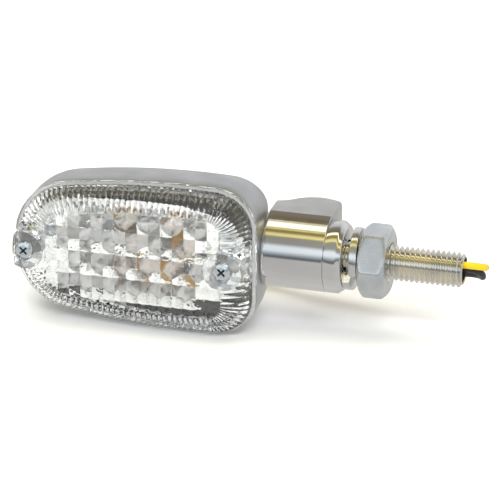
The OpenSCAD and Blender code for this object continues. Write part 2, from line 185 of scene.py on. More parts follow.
def bend(p, r, dip):
    """A bend from +X at p towards +Y and down by angle dip."""
    c, s = math.cos(math.radians(dip)), math.sin(math.radians(dip))
    return [(p[0] + r * math.sin(t), p[1] + r * (1 - math.cos(t)) * c, p[2] - r * (1 - math.cos(t)) * s)
            for t in (math.radians(20 * i) for i in range(6))]


YELLOW = [(STUD_OUT, -0.7, 1.95)] + bend((STUD_OUT + 1, -0.7, 1.95), 4.4, 24) + [
    (43.7, 7, -1.45), (42.5, 10.2, -2.85), (40.1, 12.9, -4.2), (36.7, 14.9, -5.3), (32.2, 16.2, -6.2),
    (27, 16.8, -7), (21, 17.2, -7.7), (15, 17.6, -8.5), (9, 18.1, -9.5), (3, 18.7, -10.8),
    (-3, 19.5, -12.3), (-9, 20.5, -14), (-15, 21.8, -15.9), (-21, 23.2, -17.8), (-27, 24.3, -19.5),
    (-32.5, 24.9, -20.6), (HANK_IN, HANK_AT[1] - FOLD, LAYER[0])]
BLACK = [(STUD_OUT, 0.9, 0.3)] + bend((STUD_OUT + 0.3, 0.9, 0.3), 4.2, 44) + [
    (42.9, 7, -4.4), (41.5, 10.2, -5.5), (38.9, 12.4, -6.3), (35.4, 13.8, -7.1), (31.1, 14.6, -7.7),
    (26, 14.9, -8.3), (20, 15.1, -8.8), (14, 15.4, -9.3), (8, 15.9, -9.8), (2, 16.6, -10.4),
    (-4, 17.8, -11.1), (-10, 19.3, -12), (-16, 21.1, -13.1), (-22, 22.8, -14.3), (-27.5, 24.1, -15.4),
    (-32.5, 24.8, -16.3), (HANK_IN, HANK_AT[1] - FOLD, LAYER[2])]
YELLOW_TAIL = [(HANK_IN, HANK_AT[1] + FOLD, LAYER[1]), (-35.3, 37.1, -18.9), (-32.3, 37.9, -19.3),
               (-28.9, 39.1, -19.8), (-25.4, 39.9, BULLET[1] + 0.03), (BULLET[0] - 0.02, 40, BULLET[1])]
BLACK_TAIL = [(HANK_IN, HANK_AT[1] + FOLD, LAYER[3]), (-35.5, 36.9, -14.8), (-32.4, 36.2, -16.1),
              (-28.9, 35.2, -18.3), (-24.6, 34.5, BULLET[1]), (BULLET[0] - 0.02, 34.5, BULLET[1])]


def hank(low, high):
    """One and a half turns from the lower layer to the upper one, climbing in the fold between them."""
    x0, x1 = HANK_AT[0] - RUN / 2, HANK_AT[0] + RUN / 2
    y0 = HANK_AT[1]

    def fold(x, start, z_from, z_to):
        out = []
        for i in range(13):
            t = math.radians(start - 180 * i / 12)
            rise = min(1, max(0, (i / 12 - 0.25) / 0.5))
            rise = rise * rise * (3 - 2 * rise)
            out.append((x + FOLD * math.cos(t), y0 + FOLD * math.sin(t), z_from + (z_to - z_from) * rise))
        return out

    def run(a, b, y, z):
        return [(a + (b - a) * i / 4, y, z) for i in (1, 2, 3)]

    return (run(HANK_IN, x0, y0 - FOLD, low) + fold(x0, 270, low, low) + run(x0, x1, y0 + FOLD, low)
            + fold(x1, 90, low, high) + run(x1, x0, y0 - FOLD, high) + fold(x0, 270, high, high)
            + run(x0, HANK_IN, y0 + FOLD, high))


def smooth_path(points, per=5):
    """A smooth curve through points, sampled between them."""
    p = np.array(points, float)
    d = np.linalg.norm(np.diff(p, axis=0), axis=1)[:, None]
    slope = np.diff(p, axis=0) / d
    between = (slope[:-1] * d[1:] + slope[1:] * d[:-1]) / (d[:-1] + d[1:])
    tangent = np.vstack([slope[:1], between, slope[-1:]])
    t = np.linspace(0, 1, per, endpoint=False)[None, :, None]
    a, b = p[:-1, None], p[1:, None]
    ma, mb = (tangent[:-1] * d)[:, None], (tangent[1:] * d)[:, None]
    mid = ((2 * t**3 - 3 * t**2 + 1) * a + (t**3 - 2 * t**2 + t) * ma
           + (3 * t**2 - 2 * t**3) * b + (t**3 - t**2) * mb)
    return np.vstack([mid.reshape(-1, 3), p[-1:]])


def add_lead(name, route, tail, low, high, nodes):
    path = smooth_path(route + hank(low, high) + tail)
    data = bpy.data.curves.new(name, "CURVE")
    data.dimensions = "3D"
    data.bevel_depth = 1             # times each point's radius
    data.bevel_resolution = 6
    data.use_fill_caps = True
    spline = data.splines.new("POLY")
    spline.points.add(len(path) - 1)
    for point, at in zip(spline.points, path):
        point.co = (*(at * MM), 1)
        point.radius = LEAD_R * MM
    spline.use_smooth = True
    obj = bpy.data.objects.new(name, data)
    scene.collection.objects.link(obj)
    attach(obj, "stem")
    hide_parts(*nodes)
    return obj


yellow_lead = add_lead("yellow_cable", YELLOW, YELLOW_TAIL, LAYER[0], LAYER[1],
                       ["yellow_lead", "yellow_hank"])
black_lead = add_lead("black_cable", BLACK, BLACK_TAIL, LAYER[2], LAYER[3],
                      ["black_lead", "black_hank"])

# ---------------------------------------------------------------- sizes that several pieces share

HEAD = (-55.1, -12.1)            # middle of the head: X, and Y of the housing's rim
SCREW_X = (-30.6, 28.4)          # lens screws, from the middle of the head
RECESS_SHADE_R, RECESS_SHADE_Y = 1.42, -20.15        # reach and floor of the painted shade in a screw's cross recess
CHIP_Y, CHIPS_FROM_X = -11.2, -60        # amber chips lie behind this Y and from this X on
SILVERED_PATCH = ((0, -55.5, 34), (2, 0.1, 15.8))    # axis, middle and half size of the silvered patch; the plate around it is painted shade

# ---------------------------------------------------------------- materials

def node(tree, kind, inputs=None, **props):
    """A node with its properties set and its inputs given as values or sockets."""
    n = tree.nodes.new(kind)
    for key, value in props.items():
        setattr(n, key, value)
    for key, value in (inputs or {}).items():
        if isinstance(value, bpy.types.NodeSocket):
            tree.links.new(value, n.inputs[key])
        else:
            n.inputs[key].default_value = value
    return n


def ramp(tree, fac, stops):
    """A colour ramp of (position, colour) stops; a colour is a grey level or an RGB triple."""
    n = tree.nodes.new("ShaderNodeValToRGB")
    n.color_ramp.interpolation = "LINEAR"
    els = n.color_ramp.elements
    while len(els) < len(stops):
        els.new(0.5)
    for el, (pos, col) in zip(els, stops):
        col = (col, col, col) if isinstance(col, (int, float)) else col
        el.position = pos
        el.color = (*col, 1)
    tree.links.new(fac, n.inputs[0])
    return n.outputs[0]


def material(name):
    """A new material with its tree, its Principled shader and its object coordinates."""
    m = bpy.data.materials.new(name)
    m.use_nodes = True
    t = m.node_tree
    t.nodes.clear()
    out = t.nodes.new("ShaderNodeOutputMaterial")
    shader = t.nodes.new("ShaderNodeBsdfPrincipled")
    t.links.new(shader.outputs[0], out.inputs[0])
    where = t.nodes.new("ShaderNodeTexCoord").outputs["Object"]
    return m, t, shader, where


def noise(t, where, scale, detail=3, rough=0.5):
    """Noise with its scale in waves per millimetre."""
    return node(t, "ShaderNodeTexNoise", {"Vector": where, "Scale": scale / MM, "Detail": detail,
                                          "Roughness": rough}).outputs["Fac"]


def bump(t, height, strength, distance):
    """Relief of a height, its distance in millimetres."""
    return node(t, "ShaderNodeBump", {"Height": height, "Strength": strength,
                                      "Distance": distance * MM}).outputs[0]


def maths(t, operation, a, b=0.5):
    return node(t, "ShaderNodeMath", {0: a, 1: b}, operation=operation).outputs[0]


def wear(t, s, grain, smoothest, roughest, strength, distance, ends=(0.3, 0.7)):
    """Roughness and relief that follow one fine grain."""
    t.links.new(ramp(t, grain, [(ends[0], smoothest), (ends[1], roughest)]), s.inputs["Roughness"])
    t.links.new(bump(t, grain, strength, distance), s.inputs["Normal"])


def metal(name, colour, rough, spread, grain, bump_mm, tint=None, stretch=(1, 1, 1)):
    """Bare or plated metal: its roughness varies with a fine grain that can be stretched along an axis."""
    m, t, s, where = material(name)
    where = node(t, "ShaderNodeMapping", {"Vector": where, "Scale": stretch}).outputs[0]
    fine = noise(t, where, grain, 4, 0.6)
    broad = noise(t, where, 0.12, 2)
    dark = tuple(c * 0.86 for c in colour)
    t.links.new(ramp(t, broad, [(0.35, dark), (0.65, tint or colour)]), s.inputs["Base Color"])
    s.inputs["Metallic"].default_value = 1
    wear(t, s, fine, rough - spread, rough + spread, 0.6, bump_mm, (0.25, 0.75))
    return m


def plastic(name, colour, rough, grain=1.5, bump_mm=0.01, dark=0.8, transmission=0.0):
    """Moulded plastic or rubber with a fine texture and a slight variation in its colour."""
    m, t, s, where = material(name)
    fine = noise(t, where, grain, 3)
    shades = [(0.3, tuple(c * dark for c in colour)), (0.7, colour)]
    t.links.new(ramp(t, noise(t, where, 0.3, 2), shades), s.inputs["Base Color"])
    wear(t, s, fine, rough - 0.06, rough + 0.06, 0.5, bump_mm)
    s.inputs["Transmission Weight"].default_value = transmission
    return m


def dress(obj, *materials):
    obj.data.materials.clear()
    for m in materials:
        obj.data.materials.append(m)


def dress_node(name, m):
    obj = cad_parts[name]
    for slot in obj.material_slots:
        slot.material = m


def silvering_and_painted_shade():
    """Silvered plastic in a rounded patch; the plate's rim around it is coloured near black as painted shade."""
    m, t, s, where = material("silvered_plastic_painted_shade")
    xyz = node(t, "ShaderNodeSeparateXYZ", {"Vector": where})
    sides = []
    for axis, middle, half in SILVERED_PATCH:
        away = maths(t, "ABSOLUTE", maths(t, "ADD", xyz.outputs[axis], -middle * MM))
        sides.append(maths(t, "POWER", maths(t, "DIVIDE", away, half * MM), 3))
    silver_else_painted_shade = maths(t, "LESS_THAN", maths(t, "ADD", *sides), 1)
    # painted shade: outside the silvered patch the plate is coloured near black and not metallic
    t.links.new(ramp(t, silver_else_painted_shade, [(0.4, 0.035), (0.6, (0.82, 0.83, 0.84))]), s.inputs["Base Color"])
    t.links.new(silver_else_painted_shade, s.inputs["Metallic"])
    wear(t, s, noise(t, where, 0.8, 3), 0.06, 0.16, 0.7, 0.25)
    return m


def zinc_screw(x):
    """Zinc plate with painted shade in its cross recess; x is the screw's place from the head's middle."""
    m, t, s, where = material("zinc_screw")
    away = (-(HEAD[0] + x) * MM, 0, 0)
    moved = node(t, "ShaderNodeVectorMath", {0: where, 1: away}, operation="ADD").outputs[0]
    flat = node(t, "ShaderNodeVectorMath", {0: moved, 1: (1, 0, 1)}, operation="MULTIPLY").outputs[0]
    reach = node(t, "ShaderNodeVectorMath", {0: flat}, operation="LENGTH").outputs["Value"]
    near = maths(t, "LESS_THAN", reach, RECESS_SHADE_R * MM)
    y = node(t, "ShaderNodeSeparateXYZ", {"Vector": where}).outputs[1]
    deep = maths(t, "GREATER_THAN", y, RECESS_SHADE_Y * MM)
    recess = maths(t, "MULTIPLY", near, deep)
    # painted shade: the cross recess is coloured near black where it lies in shade
    t.links.new(ramp(t, recess, [(0.4, (0.80, 0.87, 0.92)), (0.6, (0.06, 0.08, 0.09))]), s.inputs["Base Color"])
    s.inputs["Metallic"].default_value = 1
    wear(t, s, noise(t, where, 1.2, 3), 0.12, 0.28, 0.5, 0.06)
    return m


def led_material():
    """Clear epoxy, a little milky, with painted reflections as grey patches and a faint painted glow; an amber
    chip at the foot of some LEDs at the stud's side.
    """
    m, t, s, where = material("led_epoxy")
    xyz = node(t, "ShaderNodeSeparateXYZ", {"Vector": where})
    low = maths(t, "GREATER_THAN", xyz.outputs[1], CHIP_Y * MM)
    across = node(t, "ShaderNodeMapping", {"Vector": where, "Scale": (1, 0, 1)}).outputs[0]
    some = maths(t, "GREATER_THAN", noise(t, across, 0.09, 0), 0.52)
    inner = maths(t, "GREATER_THAN", xyz.outputs[0], CHIPS_FROM_X * MM)
    amber = maths(t, "MULTIPLY", maths(t, "MULTIPLY", low, some), inner)
    # painted reflections: grey patches in the epoxy's colour stand in for reflections inside the LEDs
    grey = ramp(t, noise(t, where, 0.30, 2, 0.6), [(0.36, (0.22, 0.22, 0.21)), (0.46, (0.70, 0.70, 0.69)),
                                                   (0.60, (0.97, 0.97, 0.96))])
    mix = node(t, "ShaderNodeMix", {"Factor": amber}, data_type="RGBA")
    t.links.new(grey, mix.inputs[6])
    mix.inputs[7].default_value = (0.95, 0.62, 0.20, 1)
    # painted light: the colour also glows faintly, standing in for light that reaches the LEDs through the lens
    for name in ("Base Color", "Emission Color"):
        t.links.new(mix.outputs[2], s.inputs[name])
    for name, value in (("Roughness", 0.08), ("Transmission Weight", 0.35), ("Emission Strength", 0.10)):
        s.inputs[name].default_value = value
    t.links.new(bump(t, noise(t, where, 0.5, 3), 0.8, 0.5), s.inputs["Normal"])
    return m


SATIN = metal("satin_casting", (0.62, 0.63, 0.65), 0.34, 0.06, 3.0, 0.012)
ZINC = metal("zinc_plate", (0.72, 0.76, 0.80), 0.26, 0.08, 2.5, 0.02, (0.78, 0.80, 0.82))
DARK_STEEL = metal("black_oxide", (0.16, 0.16, 0.17), 0.45, 0.08, 2.0, 0.01)
SPRING = metal("bright_spring_steel", (0.80, 0.82, 0.84), 0.16, 0.06, 1.2, 0.012, (0.88, 0.88, 0.86))
BRASS = metal("bright_brass", (0.80, 0.62, 0.28), 0.25, 0.06, 1.5, 0.01)
SILVER_AND_PAINTED_SHADE = silvering_and_painted_shade()
RUBBER = plastic("rubber", (0.03, 0.03, 0.033), 0.6, 2.0, 0.02)
BOARD = plastic("solder_mask", (0.02, 0.07, 0.04), 0.35, 2.0, 0.01)
YELLOW_PVC = plastic("yellow_pvc", (0.85, 0.56, 0.012), 0.35, 1.2, 0.006, 0.9)
BLACK_PVC = plastic("black_pvc", (0.02, 0.02, 0.022), 0.38, 1.2, 0.006)
LACQUER = plastic("resistor_lacquer", (0.62, 0.45, 0.26), 0.3)
EPOXY = plastic("black_epoxy", (0.02, 0.02, 0.02), 0.3)
CLEAR_PVC = plastic("translucent_pvc", (0.85, 0.86, 0.84), 0.25, 1.0, 0.005, 0.95, 0.6)
LED_CLEAR = led_material()
SILICONE = plastic("pale_silicone", (0.85, 0.86, 0.86), 0.4, 1.5, 0.01, 0.92)

for name, m in (("lens_gasket", SILICONE), ("lens_screw_outer", zinc_screw(SCREW_X[0])),
                ("lens_screw_inner", zinc_screw(SCREW_X[1])), ("reflector", SILVER_AND_PAINTED_SHADE),
                ("circuit_board", BOARD), ("leds", LED_CLEAR), ("resistors", LACQUER), ("diode", EPOXY),
                ("board_screws", ZINC), ("yellow_board_wire", YELLOW_PVC),
                ("black_board_wire", BLACK_PVC), ("wave_washer", SPRING), ("retaining_ring", DARK_STEEL),
                ("swivel_o_ring", RUBBER), ("grub_screw", DARK_STEEL), ("lead_sleeve", RUBBER),
                ("yellow_wire_in_stud", YELLOW_PVC), ("black_wire_in_stud", BLACK_PVC),
                ("hank_tie", RUBBER), ("yellow_bullet", BRASS), ("black_bullet", BRASS),
                ("yellow_bullet_sleeve", CLEAR_PVC), ("black_bullet_sleeve", CLEAR_PVC)):
    dress_node(name, m)
dress(yellow_lead, YELLOW_PVC)
dress(black_lead, BLACK_PVC)

# ---------------------------------------------------------------- the head's outline

HEAD_W, HEAD_H = 73.4, 45.2
OUT = HEAD_W / 2 - 1             # reach of the outer end from the middle
CORNER_IN, CORNER_OUT, CROWN, END = 12, 18, 230, 23      # radii of the outline's arcs
CROWN_X = 16                     # the crowned top's highest place


def outline_frame(n):
    """n points around the head's outline and their outward normals, X and Z from the head's middle."""
    crown = np.array([CROWN_X, HEAD_H / 2 - CROWN])
    end = np.array([END - OUT, 0])
    x = HEAD_W / 2 - CORNER_IN
    inner = np.array([x, crown[1] + math.sqrt((CROWN - CORNER_IN) ** 2 - (x - crown[0]) ** 2)])
    r1, r2 = CROWN - CORNER_OUT, END - CORNER_OUT
    d = end - crown
    dist = np.linalg.norm(d)
    u = d / dist
    a = (r1 * r1 - r2 * r2 + dist * dist) / (2 * dist)
    outer = crown + a * u + math.sqrt(r1 * r1 - a * a) * np.array([-u[1], u[0]])

    def bearing(p, q):
        return math.atan2(q[1] - p[1], q[0] - p[0])

    arcs = [(inner, CORNER_IN, 0, bearing(crown, inner)),
            (crown, CROWN, bearing(crown, inner), bearing(crown, outer)),
            (outer, CORNER_OUT, bearing(crown, outer), bearing(end, outer)),
            (end, END, bearing(end, outer), math.pi)]
    lengths = [inner[1]] + [r * (a1 - a0) for _, r, a0, a1 in arcs]
    total = sum(lengths)
    points, normals = [], []
    for i in range(n // 2):
        s = (i + 0.5) * total / (n // 2)
        if s < lengths[0]:
            points.append((HEAD_W / 2, s))
            normals.append((1, 0))
            continue
        s -= lengths[0]
        for (c, r, a0, a1), length in zip(arcs, lengths[1:]):
            if s <= length or c is end:
                t = a0 + s / r
                points.append((c[0] + r * math.cos(t), c[1] + r * math.sin(t)))
                normals.append((math.cos(t), math.sin(t)))
                break
            s -= length
    points += [(x, -z) for x, z in reversed(points)]
    normals += [(x, -z) for x, z in reversed(normals)]
    return np.array(points), np.array(normals)


def head_ring(points, normals, d, y):
    """The outline pulled in by d, at depth y behind the rim, in the part's frame."""
    p = points - np.atleast_1d(d)[:, None] * normals
    y = np.broadcast_to(y, len(p))
    return [(HEAD[0] + a, HEAD[1] + b, c) for (a, c), b in zip(p, y)]


def prism(points, normals, d, y0, y1):
    """A flat-ended block of the outline pulled in by d, from y0 to y1 behind the rim."""
    return capped([head_ring(points, normals, d, y0), head_ring(points, normals, d, y1)])


# ---------------------------------------------------------------- housing

DEPTH, STRAIGHT, WALL = 25, 7, 2.2
BACK_R = 8                       # how far the back draws in at the stud's side


def add_housing():
    points, normals = outline_frame(240)

    def bowl(d, depth, y0, inset_max):
        """The outline drawn in as it goes back, more at the outer end than at the stud's side."""
        rings = [head_ring(points, normals, d, y) for y in (y0, STRAIGHT * 0.5, STRAIGHT)]
        half, out, inn = HEAD_H / 2 - d, OUT - d, HEAD_W / 2 - d
        for i in range(1, 15):
            t = math.radians(6 * i)
            size = math.cos(t) ** 0.9
            first = min(half * (1 - size), inset_max)
            outer = out * size / (out - first)
            inner = (inn - BACK_R * (1 - math.cos(t))) / (inn - first)
            ring = points - (d + first) * normals
            ring[:, 0] *= np.where(ring[:, 0] < 0, outer, inner)
            ring[:, 1] *= half * size / (half - first)
            y = STRAIGHT + (depth - STRAIGHT) * math.sin(t)
            rings.append([(HEAD[0] + a, HEAD[1] + y, c) for a, c in ring])
        return rings

    outside = bowl(0, DEPTH, 0.35, 7)
    lip = [head_ring(points, normals, d, y) for d, y in ((WALL, 0), (0.35, 0), (0.1, 0.1))]
    inside = bowl(WALL, DEPTH - WALL, 0, 6)[1:][::-1]
    shell = new_object("housing_casting", *capped(inside + lip + outside))
    sharpen(shell, 50)
    boss = lathe_x("housing_boss", [(-30.1, 4.8), (-30.1, 6.6), (-27.1, 6.6), (-27.1, 10.5), (-18.6, 10.5),
                                    (-18.3, 10.4), (-18.2, 10.15), (-18.2, 4.8)], 128)
    for obj in (shell, boss):
        dress(obj, SATIN)
        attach(obj, "head")
    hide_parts("housing")
    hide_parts("housing")


add_housing()

# ---------------------------------------------------------------- lens

LENS_Y, LENS_BACK, FLANGE_Y, BORDER, LENS_WALL = -7.5, -0.4, -1.6, 7.5, 2.0
CELL = (3.44, 3.60)              # width and height of a pillow cell
CELL_Z = -2.0                    # where a row of cells starts
FLUTES, PER_FLUTE = 120, 10      # flutes round the border and points to each
SQUEEZE = 0.04                   # how much narrower the flat front is than the border alone makes it


def border_depth(k):
    """How far forward the border lies at k, from 0 at the flange to 1 at the flat front."""
    return np.interp(k, [0, 0.12, 0.2, 0.4, 0.66, 0.85, 1], [0, 0, 0.3, 0.62, 0.85, 0.96, 1])


def pillow(x, z):
    """Height of the pillow cells on the lens's front: two crossed rows of convex ribs."""
    u = (x / CELL[0]) % 1.0 * 2 - 1
    v = ((z - CELL_Z) / CELL[1]) % 1.0 * 2 - 1
    return 0.36 * (1 - u**2) + 0.36 * (1 - v**2) - 0.2


def squeezed(ring, k):
    """A ring narrowed towards the middle of the head, the more the nearer k is to 1."""
    ring = np.array(ring)
    ring[:, 0] = HEAD[0] + (ring[:, 0] - HEAD[0]) * (1 - SQUEEZE * k)
    return [tuple(p) for p in ring]


def cell_points(loop, sub=6):
    """Points of a grid that follows the cells, inside the loop and clear of it."""
    path = np.vstack([loop, loop[:1]])
    (x0, z0), (x1, z1) = path[:-1].T, path[1:].T
    inner = []
    for x in np.arange(-9 * sub, 9 * sub + 1) * CELL[0] / sub:
        for z in np.arange(-5 * sub, 6 * sub + 1) * CELL[1] / sub + CELL_Z:
            cross = x0 + (z - z0) / (z1 - z0 + 1e-12) * (x1 - x0)
            if (((z0 > z) != (z1 > z)) & (x < cross)).sum() % 2:
                if np.min(np.hypot(loop[:, 0] - x, loop[:, 1] - z)) > 0.2:
                    inner.append((x, z))
    return inner


def lens_mesh(points, normals):
    """The lens: flange, fluted border, front of pillow cells and a plain recess behind them."""
    n = len(points)
    flute = np.abs(np.sin(np.pi * np.arange(n) / PER_FLUTE))
    rings = [head_ring(points, normals, d, y) for d, y in (
        (0, LENS_BACK), (0, FLANGE_Y + 0.3), (0.12, FLANGE_Y + 0.06), (0.35, FLANGE_Y))]
    for k in np.concatenate([[0.11], np.linspace(0.14, 1, 18)]):
        height = FLANGE_Y + (LENS_Y - FLANGE_Y) * border_depth(k)
        fade = min(1, max(0, (k - 0.12) / 0.06)) * min(1, max(0, (1.0 - k) / 0.05))
        lift = 0.34 * fade * (flute - 0.64)
        rings.append(squeezed(head_ring(points, normals, k * BORDER - 0.7 * lift, height - 0.7 * lift), k))
    # the front is a constrained triangulation between the border's last ring and the cells' points
    loop = np.array(rings[-1])[:, [0, 2]] - [HEAD[0], 0]
    coords = [Vector(p) for p in loop] + [Vector(p) for p in cell_points(loop)]
    flat, _, tris, *_ = geometry.delaunay_2d_cdt(coords, [], [list(range(n))], 1, 1e-6)
    verts, faces = loft(rings)
    base = len(verts) - n
    verts += [(HEAD[0] + p.x, HEAD[1] + LENS_Y - pillow(p.x, p.y), p.y) for p in flat[n:]]
    for i in range(n):
        x, _, z = verts[base + i]
        verts[base + i] = (x, HEAD[1] + LENS_Y - pillow(x - HEAD[0], z), z)
    faces += [tuple(base + i for i in t) for t in tris]
    # the recess
    start = len(verts)
    recess = []
    for k in np.linspace(0, 1, 12):
        y = LENS_BACK + (LENS_Y + LENS_WALL - LENS_BACK) * border_depth(k)
        recess.append(squeezed(head_ring(points, normals, 2.4 + 0.7 * k * BORDER, y), k))
    inner_verts, inner_faces = loft(recess)
    verts += inner_verts
    faces += [tuple(start + i for i in f) for f in inner_faces]
    faces.append(tuple(range(len(verts) - n, len(verts))))
    for i in range(n):
        j = (i + 1) % n
        faces.append((i, j, start + j, start + i))
    return verts, faces


# A boss: distance from the housing's rim and radius, with a counterbore for the screw's head.
BOSS = [(-0.7, 1.62), (-0.7, 5.6), (-7.55, 5.7), (-7.8, 5.6), (-7.9, 5.35), (-7.9, 3.25),
        (-7.8, 3.05), (-6.75, 2.95), (-6.7, 2.9), (-6.7, 1.62)]


def add_lens():
    points, normals = outline_frame(FLUTES * PER_FLUTE)
    lens = new_object("lens_moulding", *lens_mesh(points, normals))
    cut(lens, *[rod("y", 5.75, HEAD[1] - 12, HEAD[1] + 2, (HEAD[0] + x, 0)) for x in SCREW_X])
    sharpen(lens, 25)
    bosses = [lathe_y("lens_boss_" + side, [(HEAD[1] + y, r) for y, r in BOSS], (HEAD[0] + x, 0))
              for side, x in zip(("outer", "inner"), SCREW_X)]
    trim = new_object("trim", *prism(points, normals, 1.7, -9, 1))
    cut(bosses[0], trim, operation="INTERSECT")
    sharpen(bosses[0])
    for name, objs, through, relief in (("clear_polycarbonate", [lens], 1, 0.22),
                                        ("boss_polycarbonate", bosses, 0.90, 0.5)):
        m, t, s, where = material(name)
        s.inputs["Base Color"].default_value = (0.985, 0.99, 0.99, 1)
        s.inputs["Roughness"].default_value = 0.02
        s.inputs["IOR"].default_value = 1.5
        s.inputs["Transmission Weight"].default_value = through
        t.links.new(bump(t, noise(t, where, 0.40, 2, 0.6), 0.7, relief), s.inputs["Normal"])
        for obj in objs:
            dress(obj, m)
            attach(obj, "head")
            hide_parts("lens")


add_lens()

# ---------------------------------------------------------------- reflector and LEDs

LED_GRID, LED_PITCH, CUP_R = (6, 4), (7.2, 7.0), 3.45


def led_places():
    """X and Z of the LEDs from the middle of the head, alternate rows shifted to either side."""
    cols, rows = LED_GRID
    return [((i - (cols - 1) / 2 + (-0.25 if j % 2 == 0 else 0.25)) * LED_PITCH[0],
             (j - (rows - 1) / 2) * LED_PITCH[1]) for i in range(cols) for j in range(rows)]


def add_reflector():
    """A silvered plate with a dished cup around each LED."""
    points, normals = outline_frame(240)
    plate = new_object("reflector_plate", *prism(points, normals, WALL + 0.4, 0.3, 1.3), smooth=False)
    holes = [rod("y", CUP_R, HEAD[1] - 1, HEAD[1] + 3, (HEAD[0] + x, z), 48) for x, z in led_places()]
    holes += [rod("y", 3.5, HEAD[1] - 1, HEAD[1] + 3, (HEAD[0] + x, 0), 48) for x in SCREW_X]
    cut(plate, *holes)
    dish = [(0.3, CUP_R), (0.75, 3.3), (1.4, 3.1), (2.1, 2.88), (2.65, 2.68),
            (2.7, 2.78), (2.1, 3.02), (1.4, 3.24), (0.8, CUP_R)]
    cups = [lathe_y("cup", [(HEAD[1] + y, r) for y, r in dish], (HEAD[0] + x, z), 40)
            for x, z in led_places()]
    mesh = bmesh.new()
    for obj in [plate] + cups:
        mesh.from_mesh(obj.data)
    mesh.to_mesh(plate.data)
    mesh.free()
    for cup in cups:
        bpy.data.objects.remove(cup)
    sharpen(plate, 40)
    dress(plate, SILVER_AND_PAINTED_SHADE)
    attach(plate, "head")
    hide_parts("reflector")


add_reflector()

# ---------------------------------------------------------------- arm

ARM_R, ARM_LEN, HOOD_Z, ARM_BORE = 10.5, 18.15, 11.9, 4.8
# back face of the hood: X and Y
HOOD_BACK = [(0, 14.2), (-0.8, 14.8), (-3.1, 15.7), (-6.4, 16.2), (-8.4, 15.9), (-12, 14.4), (-14.6, 12.2),
             (-16.8, 11.1), (-ARM_LEN, 10.8)]


def turn(centre, r, start, end, n=8):
    """Points along an arc from bearing start to bearing end, in degrees."""
    return [(centre[0] + r * math.cos(t), centre[1] + r * math.sin(t))
            for t in (math.radians(start + (end - start) * i / n) for i in range(n + 1))]


def add_arm():
    """A round bar with a hood: a crowned slope tangent to the bar, a flat top and a back that swells."""
    bearings = np.arange(0, 360, 0.75)
    slope_r, slope_from, slope_to = 29, 123, 109
    along = math.radians(slope_from)
    centre = (ARM_R - slope_r) * np.array([math.cos(along), math.sin(along)])
    slope = turn(centre, slope_r, slope_from, slope_to)
    stations = ([0, -0.04, -0.1, -0.2, -0.35, -0.6, -1, -1.4] + list(np.linspace(-2, -ARM_LEN + 0.3, 40))
                + [-ARM_LEN + 0.12, -ARM_LEN])
    backs = smooth_path([(x, y, 0) for x, y in HOOD_BACK], 8)[::-1]
    rings = []
    for x in stations:
        back = float(np.interp(x, backs[:, 0], backs[:, 1]))
        section = np.array([(7.6, -7)] + turn((back - 4, -1), 4, -60, 0)
                           + turn((back - 3, HOOD_Z - 3), 3, 0, 90) + slope[::-1])
        dense = np.vstack([section[:-1] + (section[1:] - section[:-1]) * t
                           for t in np.linspace(0, 1, 12, endpoint=False)])
        at = np.degrees(np.arctan2(dense[:, 1], dense[:, 0]))
        order = np.argsort(at)
        wrapped = np.where(bearings > 180, bearings - 360, bearings)
        hood = np.interp(wrapped, at[order], np.hypot(dense[:, 0], dense[:, 1])[order], left=0, right=0)
        r = np.maximum(hood, ARM_R)
        ease = 0.22 * max(0, 1 + x / 0.35) ** 2 + 0.22 * max(0, 1 - (x + ARM_LEN) / 0.3) ** 2
        rings.append([(x, (a - ease) * math.cos(math.radians(b)), (a - ease) * math.sin(math.radians(b)))
                      for a, b in zip(r, bearings)])
    arm = new_object("arm_casting", *capped(rings))
    cut(arm, rod("x", ARM_BORE, -ARM_LEN - 1, 1), rod("y", 2.55, 3, 20, (-6.5, 1.5), 48))
    sharpen(arm, 28)
    return arm


arm = add_arm()
POLISHED = metal("polished_aluminium", (0.86, 0.86, 0.87), 0.10, 0.03, 2.0, 0.004,
                 (0.90, 0.89, 0.88), (0.15, 1, 1))
BLASTED = metal("blasted_aluminium", (0.74, 0.75, 0.76), 0.45, 0.06, 4.0, 0.03)
dress(arm, POLISHED, BLASTED)
for p in arm.data.polygons:
    if p.center.z > (HOOD_Z - 3) * MM and p.normal.y > -0.15 or p.center.y > ARM_R * MM:
        p.material_index = 1
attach(arm, "stem")
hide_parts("arm")

# ---------------------------------------------------------------- stud, collar, washer and nut

STUD_R, STUD_HOLE, PITCH, STUD_IN, CORE_R = 5.0, 3.45, 1.5, -33.1, 4.75
GROOVE, GROOVE_R = (-31.92, -30.88), 4.2     # the retaining ring's groove
THREAD_FROM = 5.2


def add_stud():
    """The hollow stud with its helical thread, a plain inner end and a chamfered mouth."""
    steps = 72
    profile = [(STUD_IN + 0.3, STUD_HOLE), (STUD_IN, STUD_HOLE + 0.3), (STUD_IN, 4.45),
               (STUD_IN + 0.3, CORE_R), (GROOVE[0] - 0.01, CORE_R), (GROOVE[0], GROOVE_R),
               (GROOVE[1], GROOVE_R), (GROOVE[1] + 0.01, CORE_R), (THREAD_FROM - 0.6, CORE_R)]
    rings = [[point] * steps for point in profile]
    for x in np.arange(THREAD_FROM, STUD_OUT + 1e-6, PITCH / 10):
        ring = []
        for i in range(steps):
            ridge = 1 - abs(2 * ((x / PITCH - i / steps) % 1.0) - 1)
            r = STUD_R - 0.92 * (1 - min(1, max(0, (ridge - 0.1) / 0.72)))
            r = min(r, STUD_R - max(0, x - (STUD_OUT - 1.0)) * 0.95)
            ring.append((x, r if x > THREAD_FROM + 0.7 else min(r, CORE_R)))
        rings.append(ring)
    rings += [[(STUD_OUT, STUD_HOLE + 0.25)] * steps, [(STUD_OUT - 0.25, STUD_HOLE)] * steps]
    turned = [[(x, r * math.cos(t), r * math.sin(t)) for t, (x, r) in zip(circle(steps), ring)]
              for ring in rings]
    obj = new_object("threaded_stud", *loft(turned, closed=True))
    sharpen(obj, 40)
    return obj


